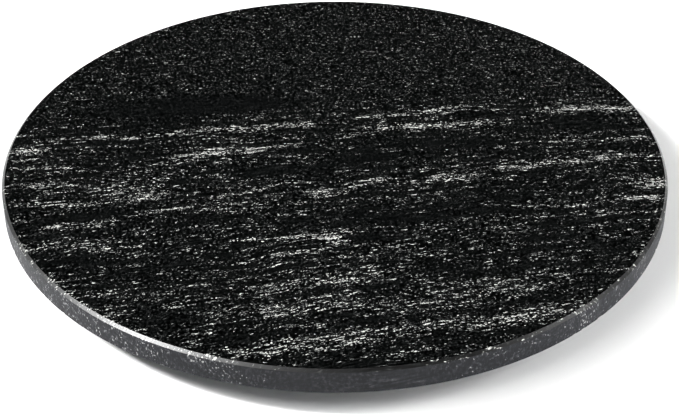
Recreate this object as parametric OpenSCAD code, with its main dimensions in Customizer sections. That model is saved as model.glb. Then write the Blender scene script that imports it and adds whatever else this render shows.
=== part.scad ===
// Lazy susan turntable: a polished stone disc on a ring bearing that stands on rubber feet.
// Millimetres, +Z up, origin on the table surface at the centre of the turning axis.

/* [Stone top] */
// Diameter of the stone disc
stone_d = 406; // [330:1:500]
// Thickness of the stone disc
stone_t = 16; // [13:0.5:25]
// Width of the bevel round the polished face
top_bevel = 1.6; // [0.4:0.1:3]
// Width of the bevel round the underside
under_bevel = 1; // [0.4:0.1:2]

/* [Ring bearing] */
// Outer diameter of the fixed base ring
base_ring_d = 300; // [240:1:366]
// Diameter of the bearing balls
ball_d = 5; // [4:0.1:7]
// Number of bearing balls
ball_count = 48; // [12:1:60]
// How deep each ring's groove takes the balls
race_depth = 1.2; // [0.9:0.1:1.5]
// Metal above and below the balls in each ring
race_wall = 1; // [0.8:0.1:3]
// How much higher the turning ring stands than the base ring
ring_step = 1; // [0.6:0.1:2]
// Bevel on the rings' outer corners
ring_bevel = 0.8; // [0.2:0.1:1]
// Metal between a foot or a pad and the edges of its ring
seat_margin = 1; // [1:0.1:4]

/* [Ball cage] */
// Gap between the nylon strip that spaces the balls and each ring
cage_clear = 0.6; // [0.3:0.1:0.7]
// Strip left above and below each ball pocket
cage_land = 0.8; // [0.5:0.1:0.9]
// Opening where the two ends of the strip meet
cage_joint = 0.8; // [0.4:0.1:2]

/* [Fixings] */
// Number of screws and pads that hold the stone
screw_count = 6; // [3:1:8]
// Thread diameter of the screws
screw_d = 4; // [3:0.1:5]
// Diameter of the countersunk head of a stone screw
csk_head_d = 7.6; // [6.5:0.1:9.5]
// Length of the threaded brass insert in the stone
insert_l = 8; // [6:0.1:10]
// Brass round the thread of an insert, out to the tips of its knurling
insert_wall = 1.2; // [1.1:0.1:2]
// Diameter of the silicone pads between ring and stone
pad_d = 14; // [11:0.1:18]
// Thickness of a silicone pad
pad_t = 1.4; // [0.8:0.1:3]

/* [Feet] */
// Number of rubber feet
foot_count = 6; // [3:1:8]
// Diameter of a foot at its top
foot_d = 15; // [12.5:0.1:20]
// How far a foot stands out below the base ring
foot_h = 4; // [3.4:0.1:8]
// Diameter of the pan head of a foot screw
pan_head_d = 7; // [6:0.1:8]
// Height of the pan head of a foot screw
pan_head_h = 2.2; // [1.6:0.1:2.6]

/* [Hidden] */
$fn = 96;

// Clearances and small seats
run_clear = 0.06;          // ball to groove
fit_clear = 0.05;          // screw to thread, plug to hole
free_clear = 0.2;          // screw to clearance hole, piece to pocket
tip_gap = 1;               // screw tip to the end of its insert
glue_gap = 0.1;            // insert to the drilled wall of the stone
hole_relief = 1;           // drilled depth beyond the insert
pad_seat = 0.4;            // depth of a pad's pocket
foot_seat = 1;             // depth of a foot's pocket
foot_taper = 0.8;          // narrowing of a foot towards the table, per side
foot_round = 0.8;          // rounding of a foot's lower edge
head_recess = 0.8;         // pan head kept clear of the table
head_crown = 0.7;          // bevel round the crown of a pan head
washer_t = 0.8;            // washer under a foot screw's head
washer_rim = 0.6;          // washer wider than the head, per side
foot_thread = 5;           // depth of thread for a foot screw
drill_point = 0.8;         // hole beyond a foot screw's tip
cross_w = 0.9;             // width of a cross recess's arms
cross_depth = 1.2;         // depth of a cross recess
socket_af = 2.5;           // hexagon socket across flats
socket_depth = 2;          // hexagon socket depth
plug_recess = 0.4;         // filler plug below the ring's outer wall
knurl_teeth = 24;          // teeth round each knurled band of an insert
knurl_depth = 0.35;        // depth of the knurling
core_inset = 0.2;          // plain core of an insert inside the roots of its knurling
insert_neck = 1.4;         // plain neck between the two knurled bands
eps = 0.01;

// Ring widths follow what sits on them
base_ring_w = foot_d + 2 * seat_margin;
turn_ring_w = max(pad_d, csk_head_d) + 2 * seat_margin;

// Bearing geometry
race_gap = ball_d - 2 * race_depth;
groove_r = ball_d / 2 + run_clear;
base_ring_r = base_ring_d / 2;
base_face_r = base_ring_r - base_ring_w;
pitch_r = base_face_r - race_gap / 2;
turn_face_r = pitch_r - race_gap / 2;
turn_inner_r = turn_face_r - turn_ring_w;
ring_h = ball_d + 2 * race_wall + ring_step;
cage_h = ball_d + 2 * cage_land;
cage_t = race_gap - 2 * cage_clear;
pocket_d = ball_d + 2 * free_clear;

// Heights above the table
base_z = foot_h;
turn_z = base_z + ring_step;
ball_z = base_z + (ring_h + ring_step) / 2;
turn_top_z = turn_z + ring_h;
stone_z = turn_top_z + pad_t - pad_seat;

// Places of the fixings
foot_pitch_r = base_face_r + base_ring_w / 2;
screw_pitch_r = turn_face_r - turn_ring_w / 2;
screw_angle = 180 / screw_count;
plug_angle = 180 / foot_count;

// Screws
csk_h = (csk_head_d - screw_d) / 2;
seat_h = csk_h - free_clear;
screw_l = stone_z - turn_z + insert_l - tip_gap;
thread_bore_d = screw_d + 2 * fit_clear;
clear_bore_d = screw_d + 2 * free_clear;
washer_d = pan_head_d + 2 * washer_rim;
foot_bore_d = washer_d + 2 * free_clear;
foot_bore_h = head_recess + pan_head_h + washer_t;
foot_screw_l = washer_t + foot_h + foot_seat - foot_bore_h + foot_thread;
plug_d = ball_d + 2 * fit_clear;
insert_d = screw_d + 2 * insert_wall;
insert_hole_d = insert_d + 2 * glue_gap;

// Angle of each stone screw and of each foot, the first being number 1
function screw_turn(i) = screw_angle + (i - 1) * 360 / screw_count;
function foot_turn(i) = (i - 1) * 360 / foot_count;

// Children moved out to radius r at angle a and height z
module at_polar(r, a, z) {
    rotate([0, 0, a]) translate([r, 0, z]) children();
}

// Hole or shaft along Z that starts eps below z and ends eps above z + h
module bore(d, h) {
    translate([0, 0, -eps]) cylinder(d = d, h = h + 2 * eps);
}

// Closed rectangle from r0 to r1 and z0 to z1 with its four corners bevelled
module bevelled_section(r0, r1, z0, z1, b_low, b_high) {
    polygon([
        [r0 + b_low, z0], [r1 - b_low, z0], [r1, z0 + b_low], [r1, z1 - b_high],
        [r1 - b_high, z1], [r0 + b_high, z1], [r0, z1 - b_high], [r0, z0 + b_low]
    ]);
}

// Cross recess that a screwdriver turns, sunk from z = 0 towards +Z
module cross_recess() {
    for (a = [0, 90])
        rotate([0, 0, a])
            translate([-screw_d / 2, -cross_w / 2, -eps])
                cube([screw_d, cross_w, cross_depth + eps]);
}

// Polished disc with a bevelled edge and blind holes for the inserts
module stone_top() {
    r = stone_d / 2;
    color([0.06, 0.06, 0.065])
        difference() {
            rotate_extrude()
                polygon([
                    [0, stone_z], [r - under_bevel, stone_z], [r, stone_z + under_bevel],
                    [r, stone_z + stone_t - top_bevel], [r - top_bevel, stone_z + stone_t],
                    [0, stone_z + stone_t]
                ]);
            for (i = [1:screw_count])
                at_polar(screw_pitch_r, screw_turn(i), stone_z)
                    bore(insert_hole_d, insert_l + hole_relief);
        }
}

// One knurled band: a toothed disc of height h
module knurl_band(h) {
    linear_extrude(height = h)
        polygon([
            for (k = [0:2 * knurl_teeth - 1])
                let (r = insert_d / 2 - (k % 2) * knurl_depth, a = k * 180 / knurl_teeth)
                    [r * cos(a), r * sin(a)]
        ]);
}

module threaded_insert() {
    band_h = (insert_l - insert_neck) / 2;
    difference() {
        union() {
            knurl_band(band_h);
            cylinder(r = insert_d / 2 - knurl_depth - core_inset, h = insert_l);
            translate([0, 0, insert_l - band_h]) knurl_band(band_h);
        }
        bore(thread_bore_d, insert_l);
    }
}

module threaded_inserts() {
    color([0.78, 0.6, 0.3])
        for (i = [1:screw_count])
            at_polar(screw_pitch_r, screw_turn(i), stone_z)
                threaded_insert();
}

module cushion_pad(i) {
    color([0.75, 0.77, 0.78])
        at_polar(screw_pitch_r, screw_turn(i), turn_top_z - pad_seat)
            difference() {
                cylinder(d = pad_d, h = pad_t);
                bore(clear_bore_d, pad_t);
            }
}

// Groove that the balls run in, as a section to take out of a ring
module race_section() {
    translate([pitch_r, ball_z]) circle(r = groove_r);
}

module turntable_ring() {
    color([0.8, 0.81, 0.82])
        difference() {
            rotate_extrude()
                difference() {
                    bevelled_section(turn_inner_r, turn_face_r, turn_z, turn_top_z,
                        ring_bevel / 2, ring_bevel / 2);
                    race_section();
                }
            for (i = [1:screw_count])
                at_polar(screw_pitch_r, screw_turn(i), turn_z) {
                    bore(clear_bore_d, ring_h);
                    translate([0, 0, -eps])
                        cylinder(d1 = csk_head_d + 2 * eps, d2 = clear_bore_d, h = seat_h + eps);
                    translate([0, 0, ring_h - pad_seat])
                        cylinder(d = pad_d + 2 * free_clear, h = pad_seat + eps);
                }
        }
}

// Countersunk screw, head down, tip up
module ring_screw() {
    difference() {
        union() {
            cylinder(d1 = csk_head_d, d2 = screw_d, h = csk_h);
            cylinder(d = screw_d, h = screw_l);
        }
        cross_recess();
    }
}

module ring_screws() {
    color([0.62, 0.63, 0.64])
        for (i = [1:screw_count])
            at_polar(screw_pitch_r, screw_turn(i), turn_z)
                ring_screw();
}

// Nylon strip bent into a ring, with one pocket for each ball
module ball_cage() {
    color([0.9, 0.9, 0.87])
        difference() {
            translate([0, 0, ball_z - cage_h / 2])
                difference() {
                    cylinder(r = pitch_r + cage_t / 2, h = cage_h);
                    bore(2 * pitch_r - cage_t, cage_h);
                }
            for (k = [0:ball_count - 1])
                at_polar(pitch_r, k * 360 / ball_count, ball_z)
                    rotate([0, 90, 0])
                        cylinder(d = pocket_d, h = 2 * cage_t, center = true);
            at_polar(pitch_r, 180 / ball_count, ball_z)
                cube([2 * cage_t, cage_joint, 2 * cage_h], center = true);
        }
}

module bearing_balls() {
    color([0.75, 0.76, 0.78])
        for (k = [0:ball_count - 1])
            at_polar(pitch_r, k * 360 / ball_count, ball_z)
                sphere(d = ball_d);
}

module base_ring() {
    color([0.76, 0.77, 0.78])
        difference() {
            rotate_extrude()
                difference() {
                    bevelled_section(base_face_r, base_ring_r, base_z, base_z + ring_h,
                        ring_bevel / 2, ring_bevel);
                    race_section();
                }
            for (i = [1:foot_count])
                at_polar(foot_pitch_r, foot_turn(i), base_z) {
                    bore(foot_d + 2 * free_clear, foot_seat - eps);
                    bore(thread_bore_d, foot_seat + foot_thread + drill_point - eps);
                }
            filler_bore(plug_d + 2 * fit_clear);
        }
}

// Radial hole from the groove to the outer wall, through which the balls are loaded
module filler_bore(d) {
    at_polar(pitch_r, plug_angle, ball_z)
        rotate([0, 90, 0])
            cylinder(d = d, h = base_ring_r - pitch_r + eps);
}

// Plug whose inner end continues the groove, with a hexagon socket in its outer end
module filler_plug() {
    plug_l = base_ring_w - plug_recess - fit_clear;
    color([0.35, 0.36, 0.37])
        difference() {
            at_polar(base_face_r + fit_clear, plug_angle, ball_z)
                rotate([0, 90, 0])
                    difference() {
                        cylinder(d = plug_d, h = plug_l);
                        translate([0, 0, plug_l - socket_depth])
                            cylinder(d = socket_af / cos(30), h = socket_depth + eps, $fn = 6);
                    }
            rotate_extrude() race_section();
        }
}

// Rubber foot with a stepped bore: wide for the screw head and washer, narrow above
module rubber_foot(i) {
    top_r = foot_d / 2;
    low_r = top_r - foot_taper;
    color([0.09, 0.09, 0.09])
        at_polar(foot_pitch_r, foot_turn(i), 0)
            difference() {
                rotate_extrude()
                    polygon(concat(
                        [[0, 0]],
                        [for (a = [-90:15:0])
                            [low_r - foot_round * (1 - cos(a)), foot_round * (1 + sin(a))]],
                        [[top_r, foot_h], [top_r, foot_h + foot_seat], [0, foot_h + foot_seat]]
                    ));
                bore(foot_bore_d, foot_bore_h - eps);
                bore(clear_bore_d, foot_h + foot_seat);
            }
}

module foot_washers() {
    color([0.7, 0.71, 0.72])
        for (i = [1:foot_count])
            at_polar(foot_pitch_r, foot_turn(i), foot_bore_h - washer_t)
                difference() {
                    cylinder(d = washer_d, h = washer_t);
                    bore(clear_bore_d, washer_t);
                }
}

// Pan-head screw, head down, tip up
module foot_screw() {
    difference() {
        union() {
            cylinder(d1 = pan_head_d - 2 * head_crown, d2 = pan_head_d, h = head_crown);
            translate([0, 0, head_crown]) cylinder(d = pan_head_d, h = pan_head_h - head_crown);
            cylinder(d = screw_d, h = pan_head_h + foot_screw_l);
        }
        cross_recess();
    }
}

module foot_screws() {
    color([0.62, 0.63, 0.64])
        for (i = [1:foot_count])
            at_polar(foot_pitch_r, foot_turn(i), head_recess)
                foot_screw();
}

stone_top();
threaded_inserts();
for (i = [1:screw_count])
    cushion_pad(i);
turntable_ring();
ring_screws();
ball_cage();
bearing_balls();
base_ring();
filler_plug();
for (i = [1:foot_count])
    rubber_foot(i);
foot_washers();
foot_screws();
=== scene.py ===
import math

import bmesh
import bpy
from mathutils import Matrix, Vector, noise


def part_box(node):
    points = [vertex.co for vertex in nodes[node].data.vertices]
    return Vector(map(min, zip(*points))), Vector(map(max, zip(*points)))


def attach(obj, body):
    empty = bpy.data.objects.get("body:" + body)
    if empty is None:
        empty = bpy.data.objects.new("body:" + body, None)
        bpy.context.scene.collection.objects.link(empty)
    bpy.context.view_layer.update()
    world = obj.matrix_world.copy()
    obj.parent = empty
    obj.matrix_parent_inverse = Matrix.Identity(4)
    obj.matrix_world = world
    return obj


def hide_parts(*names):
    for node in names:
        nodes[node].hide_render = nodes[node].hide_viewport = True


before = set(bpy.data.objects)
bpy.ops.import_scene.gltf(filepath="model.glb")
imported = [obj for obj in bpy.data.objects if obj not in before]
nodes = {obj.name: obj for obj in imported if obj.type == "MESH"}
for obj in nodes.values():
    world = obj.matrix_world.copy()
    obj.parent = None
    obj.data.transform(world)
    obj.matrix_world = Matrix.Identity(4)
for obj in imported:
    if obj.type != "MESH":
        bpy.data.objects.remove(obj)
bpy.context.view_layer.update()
MM = 0.001


# ---------------------------------------------------------------- rubber feet
# Six bumpers of black nitrile rubber, compression moulded, each with a stepped bore for its
# screw. They sit in shallow pockets in the base ring and are all that touches the table.

def linear(hex_colour):
    """A linear colour from an sRGB hex value such as "#1c1d1f"."""
    channels = [int(hex_colour[i:i + 2], 16) / 255 for i in (1, 3, 5)]
    return [c / 12.92 if c <= 0.04045 else ((c + 0.055) / 1.055) ** 2.4 for c in channels] + [1]


def add(tree, kind, inputs, **settings):
    """Adds a node; an input is given a value, or a socket that is linked to it."""
    node = tree.nodes.new("ShaderNode" + kind)
    for name, value in settings.items():
        setattr(node, name, value)
    for name, value in inputs.items():
        if isinstance(value, bpy.types.NodeSocket):
            tree.links.new(value, node.inputs[name])
        else:
            node.inputs[name].default_value = value
    return node


def new_material(name, **values):
    """A material with its tree, its shader set to plain values, and the object's coordinates."""
    made = bpy.data.materials.new(name)
    made.use_nodes = True
    tree = made.node_tree
    shader = tree.nodes["Principled BSDF"]
    for socket, value in values.items():
        shader.inputs[socket.replace("_", " ")].default_value = value
    place = add(tree, "TexCoord", {}).outputs["Object"]
    return made, tree, shader, place


def spin(shape, centre, outline, steps):
    """Turns an outline of (radius, height) points about a vertical axis through centre."""
    points = [shape.verts.new(centre + Vector((r, 0, z))) for r, z in outline]
    edges = [shape.edges.new(pair) for pair in zip(points, points[1:])]
    bmesh.ops.spin(shape, geom=points + edges, cent=centre, axis=(0, 0, 1), angle=2 * math.pi,
                   steps=steps, use_merge=True)
    bmesh.ops.remove_doubles(shape, verts=shape.verts, dist=0.001 * MM)


def new_piece(name, shape, *materials):
    """An object from a bmesh, smooth except where its faces meet at more than 30 degrees."""
    bmesh.ops.recalc_face_normals(shape, faces=shape.faces)
    mesh = bpy.data.meshes.new(name)
    shape.to_mesh(mesh)
    shape.free()
    mesh.shade_smooth()
    mesh.set_sharp_from_angle(angle=math.radians(30))
    for material in materials:
        mesh.materials.append(material)
    piece = bpy.data.objects.new(name, mesh)
    bpy.context.scene.collection.objects.link(piece)
    return piece


def moulded_rubber():
    """A deep black that greys where the mould was grit blasted and where dust has settled."""
    made, tree, shader, place = new_material("moulded_nitrile_rubber", IOR=1.52)
    grit = add(tree, "TexNoise", {"Vector": place, "Scale": 1 / (0.5 * MM), "Detail": 3.0})
    dust = add(tree, "TexNoise", {"Vector": place, "Scale": 1 / (6 * MM), "Detail": 2.0}).outputs["Fac"]
    colour = add(tree, "Mix", {0: dust, 6: linear("#101010"), 7: linear("#2e2e2d")}, data_type="RGBA")
    rough = add(tree, "MapRange", {"Value": dust, "To Min": 0.62, "To Max": 0.8})
    bump = add(tree, "Bump", {"Height": grit.outputs["Fac"], "Strength": 0.35, "Distance": 0.05 * MM})
    tree.links.new(colour.outputs[2], shader.inputs["Base Color"])
    tree.links.new(rough.outputs[0], shader.inputs["Roughness"])
    tree.links.new(bump.outputs[0], shader.inputs["Normal"])
    return made


rubber = moulded_rubber()
head_bore, screw_bore = 4.3 * MM, 2.2 * MM
head_bore_height = 3.8 * MM
taper, foot_round, edge_break = 0.8 * MM, 0.8 * MM, 0.2 * MM
pocket_depth = 1 * MM
for number in range(1, 7):
    low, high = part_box(f"rubber_foot_{number}")
    centre = Vector(((low.x + high.x) / 2, (low.y + high.y) / 2, low.z))
    radius, height = (high.x - low.x) / 2, high.z - low.z
    corner = Vector((radius - taper - foot_round, foot_round))
    arc = [(corner.x + foot_round * math.cos(a), corner.y + foot_round * math.sin(a))
           for a in (math.radians(step) for step in range(-90, 1, 10))]
    outline = [(head_bore, edge_break), (head_bore + edge_break, 0), *arc,
               (radius, height - pocket_depth), (radius, height - edge_break),
               (radius - edge_break, height), (screw_bore, height),
               (screw_bore, head_bore_height), (head_bore, head_bore_height),
               (head_bore, edge_break)]
    shape = bmesh.new()
    spin(shape, centre, outline, 96)
    foot = new_piece(f"moulded_foot_{number}", shape, rubber)
    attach(foot, "base")
    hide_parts(f"rubber_foot_{number}")


# ---------------------------------------------------------------- foot screws and washers
# Steel pan-head screws with a cross recess and flat washers, barrel plated with bright zinc.
# Each pair clamps one foot into its pocket, with the head sunk inside the rubber.

def dress(node_name, material):
    """Gives a CAD node its finish."""
    mesh = nodes[node_name].data
    mesh.materials.clear()
    mesh.materials.append(material)


def bright_zinc():
    """A bluish bright plate, clouded to straw where the passivation is thicker."""
    made, tree, shader, place = new_material("bright_zinc_plate", Metallic=1.0)
    cloud = add(tree, "TexNoise", {"Vector": place, "Scale": 1 / (2.5 * MM),
                                   "Detail": 3.0}).outputs["Fac"]
    tumble = add(tree, "TexNoise", {"Vector": place, "Scale": 1 / (0.3 * MM),
                                    "Detail": 3.0}).outputs["Fac"]
    colour = add(tree, "Mix", {0: cloud, 6: linear("#b4bac3"), 7: linear("#cdc9ba")}, data_type="RGBA")
    rough = add(tree, "MapRange", {"Value": cloud, "From Min": 0.3, "From Max": 0.7,
                                   "To Min": 0.24, "To Max": 0.42})
    bump = add(tree, "Bump", {"Height": tumble, "Strength": 0.2, "Distance": 0.02 * MM})
    tree.links.new(colour.outputs[2], shader.inputs["Base Color"])
    tree.links.new(rough.outputs[0], shader.inputs["Roughness"])
    tree.links.new(bump.outputs[0], shader.inputs["Normal"])
    return made


zinc = bright_zinc()
dress("foot_washers", zinc)
dress("foot_screws", zinc)


# ---------------------------------------------------------------- base ring
# The fixed ring of the bearing, turned from aluminium plate and clear anodised, with the outer
# half of the ball groove in its inner wall. Pockets and tapped holes below take the feet.

def turned_aluminium():
    """Satin grey metal with fine circular tool marks under the anodising."""
    made, tree, shader, place = new_material("turned_anodised_aluminium", Metallic=1.0)
    flat = add(tree, "VectorMath", {0: place, 1: (1, 1, 0)}, operation="MULTIPLY").outputs[0]
    radius = add(tree, "VectorMath", {0: flat}, operation="LENGTH").outputs["Value"]
    height = add(tree, "SeparateXYZ", {0: place}).outputs["Z"]
    across = add(tree, "CombineXYZ", {"X": radius, "Z": height}).outputs[0]
    marks = add(tree, "TexNoise", {"Vector": across, "Scale": 1 / (0.3 * MM),
                                   "Detail": 2.0}).outputs["Fac"]
    handled = add(tree, "TexNoise", {"Vector": place, "Scale": 1 / (18 * MM),
                                     "Detail": 3.0}).outputs["Fac"]
    colour = add(tree, "Mix", {0: handled, 6: linear("#bcbfc3"), 7: linear("#d3d5d7")}, data_type="RGBA")
    rough = add(tree, "MapRange", {"Value": marks, "From Min": 0.3, "From Max": 0.7,
                                   "To Min": 0.3, "To Max": 0.44})
    bump = add(tree, "Bump", {"Height": marks, "Strength": 0.3, "Distance": 0.02 * MM})
    tree.links.new(colour.outputs[2], shader.inputs["Base Color"])
    tree.links.new(rough.outputs[0], shader.inputs["Roughness"])
    tree.links.new(bump.outputs[0], shader.inputs["Normal"])
    return made


aluminium = turned_aluminium()
dress("base_ring", aluminium)


# ---------------------------------------------------------------- filler plug
# A steel dowel with a hexagon socket, black oxide finished. It closes the hole in the base
# ring's outer wall through which the balls were dropped into the groove.

def black_oxide():
    """A blue-black conversion coating, browner and shinier where it has been rubbed."""
    made, tree, shader, place = new_material("black_oxide_steel", Metallic=1.0)
    rubbed = add(tree, "TexNoise", {"Vector": place, "Scale": 1 / (1.2 * MM),
                                    "Detail": 4.0}).outputs["Fac"]
    colour = add(tree, "Mix", {0: rubbed, 6: linear("#1b1d22"), 7: linear("#4a443e")}, data_type="RGBA")
    rough = add(tree, "MapRange", {"Value": rubbed, "To Min": 0.6, "To Max": 0.3})
    bump = add(tree, "Bump", {"Height": rubbed, "Strength": 0.2, "Distance": 0.03 * MM})
    tree.links.new(colour.outputs[2], shader.inputs["Base Color"])
    tree.links.new(rough.outputs[0], shader.inputs["Roughness"])
    tree.links.new(bump.outputs[0], shader.inputs["Normal"])
    return made


dress("filler_plug", black_oxide())


# ---------------------------------------------------------------- bearing balls
# Forty-eight through-hardened chrome steel balls, ground and lapped. They roll in the groove
# between the two rings and carry the whole disc.

def lapped_steel():
    """A mirror finish with a thin haze of grease that dulls it in patches."""
    made, tree, shader, place = new_material("lapped_chrome_steel", Metallic=1.0)
    haze = add(tree, "TexNoise", {"Vector": place, "Scale": 1 / (1.5 * MM),
                                  "Detail": 3.0}).outputs["Fac"]
    colour = add(tree, "Mix", {0: haze, 6: linear("#d2d4d8"), 7: linear("#bdbcb4")}, data_type="RGBA")
    rough = add(tree, "MapRange", {"Value": haze, "From Min": 0.35, "From Max": 0.7,
                                   "To Min": 0.06, "To Max": 0.2})
    bump = add(tree, "Bump", {"Height": haze, "Strength": 0.05, "Distance": 0.01 * MM})
    tree.links.new(colour.outputs[2], shader.inputs["Base Color"])
    tree.links.new(rough.outputs[0], shader.inputs["Roughness"])
    tree.links.new(bump.outputs[0], shader.inputs["Normal"])
    return made


ball_count = 48
low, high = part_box("bearing_balls")
ball_r = (high.z - low.z) / 2
ball_circle = high.x - ball_r
shape = bmesh.new()
for index in range(ball_count):
    angle = index * 2 * math.pi / ball_count
    middle = Vector((ball_circle * math.cos(angle), ball_circle * math.sin(angle), low.z + ball_r))
    bmesh.ops.create_uvsphere(shape, u_segments=28, v_segments=18, radius=ball_r,
                              matrix=Matrix.Translation(middle))
balls = new_piece("lapped_balls", shape, lapped_steel())
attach(balls, "cage")
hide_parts("bearing_balls")


# ---------------------------------------------------------------- ball cage
# A strip of natural nylon, punched with a pocket for each ball and bent into a ring whose two
# ends meet at a small gap. It keeps the balls apart and goes round with them.

def natural_nylon():
    """Milky and slightly waxy: light spreads a little way in and the surface is faintly rippled."""
    made, tree, shader, place = new_material("natural_nylon", IOR=1.53, Subsurface_Weight=0.25,
                                             Subsurface_Scale=1.5 * MM)
    ripple = add(tree, "TexNoise", {"Vector": place, "Scale": 1 / (4 * MM),
                                    "Detail": 3.0}).outputs["Fac"]
    colour = add(tree, "Mix", {0: ripple, 6: linear("#dedacb"), 7: linear("#efece2")}, data_type="RGBA")
    rough = add(tree, "MapRange", {"Value": ripple, "To Min": 0.36, "To Max": 0.52})
    bump = add(tree, "Bump", {"Height": ripple, "Strength": 0.2, "Distance": 0.05 * MM})
    tree.links.new(colour.outputs[2], shader.inputs["Base Color"])
    tree.links.new(rough.outputs[0], shader.inputs["Roughness"])
    tree.links.new(bump.outputs[0], shader.inputs["Normal"])
    return made


dress("ball_cage", natural_nylon())


# ---------------------------------------------------------------- turntable ring
# The turning ring of the bearing, turned and anodised like the base ring, with the inner half of
# the ball groove in its outer wall and countersunk holes for the screws that hold the stone.

dress("turntable_ring", aluminium)


# ---------------------------------------------------------------- cushion pads
# Six die-cut washers of translucent silicone. They sit in pockets in the turning ring, so that
# the stone rests on rubber and not on metal.

def silicone():
    """Frosted and grey-white, with light passing into it and lint caught on its surface."""
    made, tree, shader, place = new_material("translucent_silicone", IOR=1.41, Subsurface_Weight=0.5,
                                             Subsurface_Scale=2 * MM)
    lint = add(tree, "TexNoise", {"Vector": place, "Scale": 1 / (1.5 * MM),
                                  "Detail": 4.0}).outputs["Fac"]
    colour = add(tree, "Mix", {0: lint, 6: linear("#c4c8ca"), 7: linear("#dadbda")}, data_type="RGBA")
    rough = add(tree, "MapRange", {"Value": lint, "To Min": 0.4, "To Max": 0.62})
    bump = add(tree, "Bump", {"Height": lint, "Strength": 0.2, "Distance": 0.04 * MM})
    tree.links.new(colour.outputs[2], shader.inputs["Base Color"])
    tree.links.new(rough.outputs[0], shader.inputs["Roughness"])
    tree.links.new(bump.outputs[0], shader.inputs["Normal"])
    return made


pad_material = silicone()
for number in range(1, 7):
    dress(f"cushion_pad_{number}", pad_material)


# ---------------------------------------------------------------- ring screws
# Countersunk zinc-plated screws that pass up through the turning ring and the pads.

dress("ring_screws", zinc)


# ---------------------------------------------------------------- threaded inserts
# Six free-cutting brass bushes, turned, knurled and glued into blind holes in the stone.

def turned_brass():
    """Warm yellow metal, darker and duller where it has tarnished."""
    made, tree, shader, place = new_material("turned_brass", Metallic=1.0)
    tarnish = add(tree, "TexNoise", {"Vector": place, "Scale": 1 / (1.8 * MM),
                                     "Detail": 4.0}).outputs["Fac"]
    colour = add(tree, "Mix", {0: tarnish, 6: linear("#d6b26a"), 7: linear("#9c7838")}, data_type="RGBA")
    rough = add(tree, "MapRange", {"Value": tarnish, "From Min": 0.3, "From Max": 0.7,
                                   "To Min": 0.22, "To Max": 0.45})
    bump = add(tree, "Bump", {"Height": tarnish, "Strength": 0.15, "Distance": 0.02 * MM})
    tree.links.new(colour.outputs[2], shader.inputs["Base Color"])
    tree.links.new(rough.outputs[0], shader.inputs["Roughness"])
    tree.links.new(bump.outputs[0], shader.inputs["Normal"])
    return made


dress("threaded_inserts", turned_brass())


# ---------------------------------------------------------------- stone
# A disc of black gneiss, sold as black granite: sawn from a slab, turned, ground on its edge and
# polished on its face. Pale feldspar lies in veins and crystals drawn out along one direction.

# Each vein's middle, half length and half width in mm, its slope in degrees and how white it is.
# A negative one is a quiet stretch between veins. A few entries on the rim are painted light, as noted
# below.
VEINS = [
    (-190, 9, 18, 5, 6, 0.9), (-110, 28, 75, 3.5, 7, 0.6), (-105, 19, 75, 2.5, 7, 0.5),
    (-40, 36, 40, 4, 5, 0.55), (54, 53, 52, 4, 10, 0.7), (58, 38, 55, 4.5, 7, 0.85),
    (150, 57, 50, 4, 6, 0.6), (188, 61, 18, 5, 3, 0.7), (-62, 9, 24, 5.5, 5, 1.0),
    (-30, 13, 20, 3, 6, 0.5), (-92, -4, 34, 8, 6, 0.45), (-178, -11, 26, 3, 2, 0.6),
    (-178, -31, 26, 3.5, 2, 0.7), (-168, -50, 34, 3, 5, 0.7), (-118, -43, 18, 5, 5, 0.75),
    (-130, -32, 40, 7, 3, 0.4), (-150, -71, 26, 4, 6, 0.5), (-140, -92, 40, 8, 3, 0.4),
    (-58, -39, 34, 2.5, 20, 0.8), (-100, -58, 20, 2.5, 14, 0.6), (-72, -57, 12, 2, 8, 0.9),
    (-7, -37, 14, 6, 6, 1.0), (18, -27, 18, 3.5, 12, 0.8), (70, -23, 26, 3, 6, 0.7),
    (64, -19, 12, 2, 6, 0.8), (110, -13, 16, 4.5, 12, 0.9), (160, -2, 45, 4, 9, 0.7),
    (190, -27, 16, 6, 8, 0.95), (186, -43, 18, 3, 6, 0.8), (145, -48, 26, 3, 10, 0.5),
    (138, 20, 18, 3, 8, 0.5), (182, 22, 20, 3.5, 10, 0.55), (-2, -86, 13, 6, -12, 1.0),
    (-40, -84, 28, 2.5, 4, 0.85), (-24, -100, 24, 3, 8, 0.7), (-110, -76, 20, 3, 3, 0.3),
    (-155, -123, 10, 3.5, 5, 0.5), (-124, -137, 16, 6, 5, 0.55), (-15, -127, 60, 5, 10, 0.48),
    (85, -130, 60, 9, 8, 0.42), (-30, -150, 70, 8, 9, 0.43), (-5, -178, 75, 7, 10, 0.48),
    # The four entries from (-182, -90) to (-66, -192) lie along the rim on the front left and are
    # painted highlight: they lighten the rim where the left lamp falls on it.
    (95, -158, 62, 8, 13, 0.46), (40, -150, 40, 8, 8, 0.3), (-182, -90, 34, 7, -64, 0.3),
    (-150, -137, 34, 7, -48, 0.35), (-112, -169, 30, 7, -34, 0.3), (-66, -192, 24, 6, -20, 0.2),
    (143, -146, 10, 8, 20, 0.4), (176, -102, 8, 8, 20, 0.4), (-90, 60, 80, 14, 6, -0.35),
    (-30, -14, 40, 8, 4, -0.3), (20, 0, 40, 6, 4, -0.3), (60, 15, 60, 7, 6, -0.3),
    # (30, -203) on this line and (60, -200) below lie along the front edge and are painted shade: they
    # calm and darken the front of the rim and the edge of the face beside it.
    (150, 40, 40, 6, 5, -0.3), (-150, -62, 22, 5, 3, -0.3), (30, -203, 75, 8, 0, -0.9),
    (-120, 18, 50, 6, 6, -0.4), (-140, -105, 30, 6, 3, -0.2), (60, -60, 70, 8, 6, -0.2),
    (60, -200, 70, 9, 10, -0.3),
]
# The length and width in mm of short and long crystals, and how much of the tone each gives.
CRYSTALS = [(1.5, 1.0, 0.85), (4.0, 0.9, 0.5)]


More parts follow.
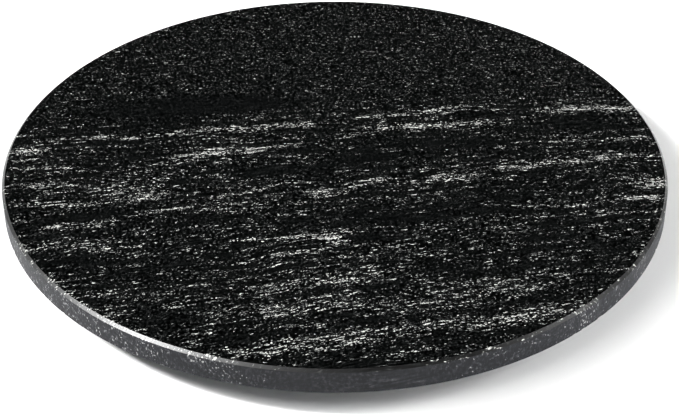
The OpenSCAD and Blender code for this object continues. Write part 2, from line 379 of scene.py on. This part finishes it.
def stone_pattern():
    """A node group that gives the stone's tone, from 0 in black mica to 1 in white feldspar."""
    tree = bpy.data.node_groups.new("gneiss_pattern", "ShaderNodeTree")
    tree.interface.new_socket("Tone", in_out="OUTPUT", socket_type="NodeSocketFloat")
    place = add(tree, "TexCoord", {}).outputs["Object"]
    # the foliation is bent a little, so that no vein is straight
    wide = add(tree, "TexNoise", {"Vector": place, "Scale": 1 / (45 * MM),
                                  "Detail": 1.0}).outputs["Color"]
    shift = add(tree, "VectorMath", {0: wide, 1: (0.5, 0.5, 0.5)}, operation="SUBTRACT").outputs[0]
    shift = add(tree, "VectorMath", {0: shift, 1: (6 * MM, 11 * MM, 11 * MM)},
                operation="MULTIPLY").outputs[0]
    bent = add(tree, "VectorMath", {0: place, 1: shift}, operation="ADD").outputs[0]

    # how much feldspar there is: the veins, which fade out a little beyond their drawn size
    fade_length, fade_width = 1.2, 1.3
    richness = None
    for x, y, half_length, half_width, slope, strength in VEINS:
        size = (half_length * MM * fade_length, half_width * MM * fade_width, 1)
        local = add(tree, "Mapping", {"Vector": bent, "Location": (x * MM, y * MM, 0), "Scale": size,
                                      "Rotation": (0, 0, math.radians(slope))},
                    vector_type="TEXTURE").outputs[0]
        away = add(tree, "VectorMath", {0: local}, operation="LENGTH").outputs["Value"]
        amount = add(tree, "MapRange", {"Value": away, "From Min": 1.0, "From Max": 0.3,
                                        "To Max": strength}, interpolation_type="SMOOTHSTEP").outputs[0]
        if richness is None:
            richness = amount
        else:
            richness = add(tree, "Math", {0: richness, 1: amount}, operation="ADD").outputs[0]

    # the layers climb to the right, more steeply on the near side
    parts = add(tree, "SeparateXYZ", {0: bent}).outputs
    steep = add(tree, "Math", {0: parts["Y"], 1: -0.7, 2: 0.12}, operation="MULTIPLY_ADD").outputs[0]
    climb = add(tree, "Math", {0: parts["X"], 1: steep}, operation="MULTIPLY").outputs[0]
    across = add(tree, "Math", {0: parts["Y"], 1: climb}, operation="SUBTRACT").outputs[0]
    along = add(tree, "CombineXYZ", {"X": parts["X"], "Y": across, "Z": parts["Z"]}).outputs[0]

    def layers(length, width, detail):
        """Noise about zero, drawn out along the layers."""
        scale = (1 / (length * MM), 1 / (width * MM), 1 / (2 * width * MM))
        sized = add(tree, "Mapping", {"Vector": along, "Scale": scale}).outputs[0]
        value = add(tree, "TexNoise", {"Vector": sized, "Scale": 1.0, "Detail": detail,
                                       "Roughness": 0.6}).outputs["Fac"]
        return add(tree, "Math", {0: value, 1: 0.5}, operation="SUBTRACT").outputs[0]

    # between the veins the near two thirds are patchy, in broad layers and small clusters
    near = add(tree, "MapRange", {"Value": across, "From Min": 70 * MM, "From Max": 48 * MM},
               interpolation_type="SMOOTHSTEP").outputs[0]
    patchy = add(tree, "Math", {0: layers(14, 5, 2.0), 1: 0.7, 2: layers(70, 4, 3.0)},
                 operation="MULTIPLY_ADD").outputs[0]
    patchy = add(tree, "Math", {0: patchy, 1: near}, operation="MULTIPLY").outputs[0]
    richness = add(tree, "Math", {0: patchy, 1: 1.8, 2: richness}, operation="MULTIPLY_ADD").outputs[0]
    richness = add(tree, "Math", {0: richness, 1: 0.1}, operation="ADD").outputs[0]

    # the crystals' edges wander by about a millimetre
    ragged = add(tree, "TexNoise", {"Vector": along, "Scale": 1 / (3.5 * MM),
                                    "Detail": 2.0}).outputs["Color"]
    shift = add(tree, "VectorMath", {0: ragged, 1: (0.5, 0.5, 0.5)}, operation="SUBTRACT").outputs[0]
    shift = add(tree, "VectorMath", {0: shift, 1: (9 * MM, 3 * MM, 3 * MM)},
                operation="MULTIPLY").outputs[0]
    frayed = add(tree, "VectorMath", {0: along, 1: shift}, operation="ADD").outputs[0]

    # a larger share of crystals shows where the stone is rich; on the far third more, but duller
    streak = layers(22, 0.8, 3.0)
    share = add(tree, "MapRange", {"Value": richness, "From Min": -0.3, "From Max": 1.0,
                                   "To Min": 0.08, "To Max": 0.9}).outputs[0]
    share = add(tree, "Math", {0: streak, 1: 1.1, 2: share}, operation="MULTIPLY_ADD").outputs[0]
    extra = add(tree, "MapRange", {"Value": near, "To Min": 0.12, "To Max": 0.0}).outputs[0]
    share = add(tree, "Math", {0: share, 1: extra}, operation="ADD").outputs[0]
    gloss = add(tree, "MapRange", {"Value": near, "To Min": 0.66, "To Max": 1.08}).outputs[0]

    # poor stretches are calm: an even dark grey with few and faint crystals
    calmest = 0.35
    calm = add(tree, "MapRange", {"Value": richness, "From Min": -0.35, "From Max": 0.08,
                                  "To Min": calmest, "To Max": 1.0}).outputs[0]
    gloss = add(tree, "Math", {0: gloss, 1: calm}, operation="MULTIPLY").outputs[0]
    base = add(tree, "MapRange", {"Value": calm, "From Min": calmest,
                                  "To Min": 0.2, "To Max": 0.11}).outputs[0]
    grain = add(tree, "Math", {0: layers(1.4, 1.1, 2.0), 1: calm}, operation="MULTIPLY").outputs[0]
    tone = add(tree, "Math", {0: grain, 1: 2.3, 2: base}, operation="MULTIPLY_ADD").outputs[0]
    for length, width, weight in CRYSTALS:
        scale = (1 / (length * MM), 1 / (width * MM), 1 / (2 * width * MM))
        sized = add(tree, "Mapping", {"Vector": frayed, "Scale": scale}).outputs[0]
        cells = add(tree, "TexVoronoi", {"Vector": sized, "Scale": 1.0}).outputs
        chance = add(tree, "SeparateXYZ", {0: cells["Color"]}).outputs["X"]
        inside = add(tree, "MapRange", {"Value": cells["Distance"], "From Min": 0.62,
                                        "From Max": 0.2}).outputs[0]
        chosen = add(tree, "Math", {0: chance, 1: share}, operation="ADD").outputs[0]
        chosen = add(tree, "MapRange", {"Value": chosen, "From Min": 0.93, "From Max": 1.5}).outputs[0]
        bright = add(tree, "Math", {0: inside, 1: chosen}, operation="MULTIPLY").outputs[0]
        bright = add(tree, "Math", {0: bright, 1: gloss}, operation="MULTIPLY").outputs[0]
        tone = add(tree, "Math", {0: bright, 1: weight, 2: tone}, operation="MULTIPLY_ADD").outputs[0]

    # long streaks run through the veins
    veined = add(tree, "Math", {0: streak, 1: richness}, operation="MULTIPLY").outputs[0]
    tone = add(tree, "Math", {0: veined, 1: 2.5, 2: tone}, operation="MULTIPLY_ADD").outputs[0]
    result = tree.nodes.new("NodeGroupOutput")
    tree.links.new(tone, result.inputs["Tone"])
    return tree


def stone_finish(name, stops, roughness, specular, relief, clouding=0.0):
    """A finish of the stone. Stops take the tone to colours, relief is the bump's depth in mm, and
    clouding is how far the tone drifts over patches of 5 mm."""
    made, tree, shader, place = new_material(name, IOR=1.54, Specular_IOR_Level=specular)
    pattern = tree.nodes.new("ShaderNodeGroup")
    pattern.node_tree = gneiss
    cloud = add(tree, "TexNoise", {"Vector": place, "Scale": 1 / (5 * MM),
                                   "Detail": 3.0}).outputs["Fac"]
    cloud = add(tree, "Math", {0: cloud, 1: 0.5}, operation="SUBTRACT").outputs[0]
    tone = add(tree, "Math", {0: cloud, 1: clouding, 2: pattern.outputs["Tone"]},
               operation="MULTIPLY_ADD").outputs[0]
    colour = add(tree, "ValToRGB", {"Fac": tone})
    elements = colour.color_ramp.elements
    while len(elements) < len(stops):
        elements.new(0.5)
    for element, (position, hex_colour) in zip(elements, stops):
        element.position = position
        element.color = linear(hex_colour)
    worn = add(tree, "TexNoise", {"Vector": place, "Scale": 1 / (0.6 * MM),
                                  "Detail": 3.0}).outputs["Fac"]
    rough = add(tree, "MapRange", {"Value": worn, "From Min": 0.3, "From Max": 0.7,
                                   "To Min": roughness * 0.85, "To Max": roughness * 1.15})
    bump = add(tree, "Bump", {"Height": worn, "Strength": 0.3, "Distance": relief * MM})
    tree.links.new(colour.outputs["Color"], shader.inputs["Base Color"])
    tree.links.new(rough.outputs[0], shader.inputs["Roughness"])
    tree.links.new(bump.outputs[0], shader.inputs["Normal"])
    return made


gneiss = stone_pattern()
face_tones = [(0.0, "#000000"), (0.2, "#070808"), (0.35, "#151616"), (0.5, "#2a2b2b"),
              (0.62, "#454645"), (0.75, "#707170"), (0.88, "#a2a39f"), (1.0, "#cacac6")]
edge_tones = [(0.0, "#17181b"), (0.3, "#222327"), (0.6, "#37383b"), (0.85, "#5e5f62"),
              (1.0, "#9c9c9b")]
sawn_tones = [(0.0, "#3f4144"), (0.35, "#515356"), (0.6, "#6c6d6e"), (1.0, "#b9b9b6")]
# a mirror polish that lets the black ground look wet
polished = stone_finish("polished_gneiss", face_tones, 0.07, 0.5, 0.002)
# a ground chamfer that spreads a highlight along the edge
ground = stone_finish("ground_gneiss", face_tones, 0.33, 0.6, 0.01)
# a honed rim, greyer and duller than the face
honed = stone_finish("honed_gneiss", edge_tones, 0.5, 0.15, 0.02, 0.8)
# the sawn underside, pale with stone dust in its pits
sawn = stone_finish("sawn_gneiss", sawn_tones, 0.7, 0.3, 0.08, 0.4)

low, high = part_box("stone_top")
radius = high.x
top_bevel, under_bevel = 1.6 * MM, 1 * MM
insert_gap, hole_depth = 0.1 * MM, 9 * MM
shape = bmesh.new()
outline = [(r, high.z) for r in (0, 50 * MM, 100 * MM, 150 * MM, radius - top_bevel)]
outline += [(radius, high.z - top_bevel), (radius, low.z + under_bevel), (radius - under_bevel, low.z)]
spin(shape, Vector((0, 0, 0)), outline, 720)
# small chips along the lower arris, where the edge was never polished
chip_spacing, chip_depth, unchipped = 5 * MM, 1.6 * MM, 0.3
for vertex in shape.verts:
    if abs(vertex.co.z - low.z - under_bevel) < 0.01 * MM:
        chip = max(0, noise.noise(vertex.co / chip_spacing) - unchipped) * chip_depth
        vertex.co.z += chip
        vertex.co.xy *= 1 - chip / radius
# the underside is one flat face with a blind hole for each insert
pads = [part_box(f"cushion_pad_{number}") for number in range(1, 7)]
hole_places = [Vector(((a.x + b.x) / 2, (a.y + b.y) / 2, low.z)) for a, b in pads]
pad_circle = max(place.xy.length for place in hole_places)
insert_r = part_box("threaded_inserts")[1].y - pad_circle
rims = [edge for edge in shape.edges if edge.is_boundary]
for place in hole_places:
    circle = bmesh.ops.create_circle(shape, segments=48, radius=insert_r + insert_gap,
                                     matrix=Matrix.Translation(place))["verts"]
    edges = [edge for edge in shape.edges if edge.verts[0] in circle and edge.verts[1] in circle]
    rims += edges
    walls = bmesh.ops.extrude_edge_only(shape, edges=edges)["geom"]
    tops = [item for item in walls if isinstance(item, bmesh.types.BMVert)]
    bmesh.ops.translate(shape, verts=tops, vec=(0, 0, hole_depth))
    shape.faces.new(tops)
bmesh.ops.triangle_fill(shape, use_beauty=True, edges=rims, normal=(0, 0, -1))

disc = new_piece("stone_disc", shape, polished, ground, honed, sawn)
for face in disc.data.polygons:
    if face.normal.z > 0.9:
        face.material_index = 0
    elif face.normal.z > 0.3:
        face.material_index = 1
    elif face.normal.z > -0.9:
        face.material_index = 2
    else:
        face.material_index = 3
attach(disc, "table")
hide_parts("stone_top")


# ---------------------------------------------------------------- floor, light and camera
# A white sweep lit like a studio table: a lamp and a panel high on the left, low panels on the
# right, a card on each side that shows only in the bevel, and a surround dark to glossy surfaces.

def area_light(name, place, aim, width, height, power, lighting=True, mirrored=True):
    """A panel out of the camera's sight that lights matt surfaces, shows in glossy ones, or both."""
    data = bpy.data.lights.new(name, "AREA")
    data.shape = "RECTANGLE"
    data.size = width
    data.size_y = height
    data.energy = power
    light = bpy.data.objects.new(name, data)
    light.location = place
    light.rotation_euler = (Vector(aim) - Vector(place)).to_track_quat("-Z", "Y").to_euler()
    light.visible_camera = False
    light.visible_diffuse = lighting
    light.visible_glossy = mirrored
    bpy.context.scene.collection.objects.link(light)


def floor_paint():
    """Matt white paint, very slightly uneven."""
    made, tree, shader, place = new_material("white_sweep")
    cloud = add(tree, "TexNoise", {"Vector": place, "Scale": 1 / (150 * MM),
                                   "Detail": 3.0}).outputs["Fac"]
    colour = add(tree, "Mix", {0: cloud, 6: linear("#f3f3f3"), 7: linear("#f5f5f5")}, data_type="RGBA")
    rough = add(tree, "MapRange", {"Value": cloud, "To Min": 0.85, "To Max": 0.95})
    tree.links.new(colour.outputs[2], shader.inputs["Base Color"])
    tree.links.new(rough.outputs[0], shader.inputs["Roughness"])
    return made


floor_radius = 4
shape = bmesh.new()
bmesh.ops.create_circle(shape, cap_ends=True, segments=96, radius=floor_radius)
new_piece("floor", shape, floor_paint())

lamp_direction = Vector((0.787, -0.06, -0.616))
lamp = bpy.data.lights.new("left_lamp", "SUN")
lamp.energy = 4.4
lamp.angle = math.radians(8)
lamp_object = bpy.data.objects.new("left_lamp", lamp)
lamp_object.rotation_euler = lamp_direction.to_track_quat("-Z", "Y").to_euler()
lamp_object.visible_glossy = False
bpy.context.scene.collection.objects.link(lamp_object)
area_light("left_panel", (-1.1, -0.64, 1.53), (0, 0, 0), 1.3, 0.26, 25, mirrored=False)
area_light("left_card", (-1.3, -0.3, 1.49), (0, 0, 0), 0.45, 0.3, 260, lighting=False)
area_light("right_card", (1.5, 0.2, 1.3), (0, 0, 0), 1.2, 0.4, 24, lighting=False)
area_light("right_panel", (2.2, 0, 0.8), (0, 0, 0.8), 0.9, 1.6, 84, mirrored=False)
area_light("right_strip", (2.1, 0, 0.2), (0, 0, 0.2), 0.9, 0.4, 18, mirrored=False)

world = bpy.data.worlds.new("studio")
world.use_nodes = True
bpy.context.scene.world = world
tree = world.node_tree
path = add(tree, "LightPath", {}).outputs
fill = add(tree, "Mix", {0: path["Is Glossy Ray"], 6: linear("#868686"), 7: linear("#0c0c0c")},
           data_type="RGBA").outputs[2]
seen = add(tree, "Mix", {0: path["Is Camera Ray"], 6: fill, 7: linear("#ffffff")}, data_type="RGBA")
tree.links.new(seen.outputs[2], tree.nodes["Background"].inputs["Color"])

# the camera's distance in radii of the disc, and how far its aim is turned from the face's centre
distance, turn_right, turn_down = 5.465, 0.0025, 0.0284
focal_length, frame_width, sensor_width = 1800, 679, 36
centre = Vector((0, 0, high.z))
elevation = math.radians(33.31)
back = Vector((0, -math.cos(elevation), math.sin(elevation)))
right = Vector((1, 0, 0))
up = right.cross(-back)
camera_data = bpy.data.cameras.new("camera")
camera_data.lens = focal_length / frame_width * sensor_width
camera = bpy.data.objects.new("camera", camera_data)
camera.location = centre + back * distance * radius
aim = -back + turn_right * right - turn_down * up
camera.rotation_euler = aim.to_track_quat("-Z", "Y").to_euler()
bpy.context.scene.collection.objects.link(camera)
bpy.context.scene.camera = camera
bpy.context.scene.view_settings.view_transform = "Standard"
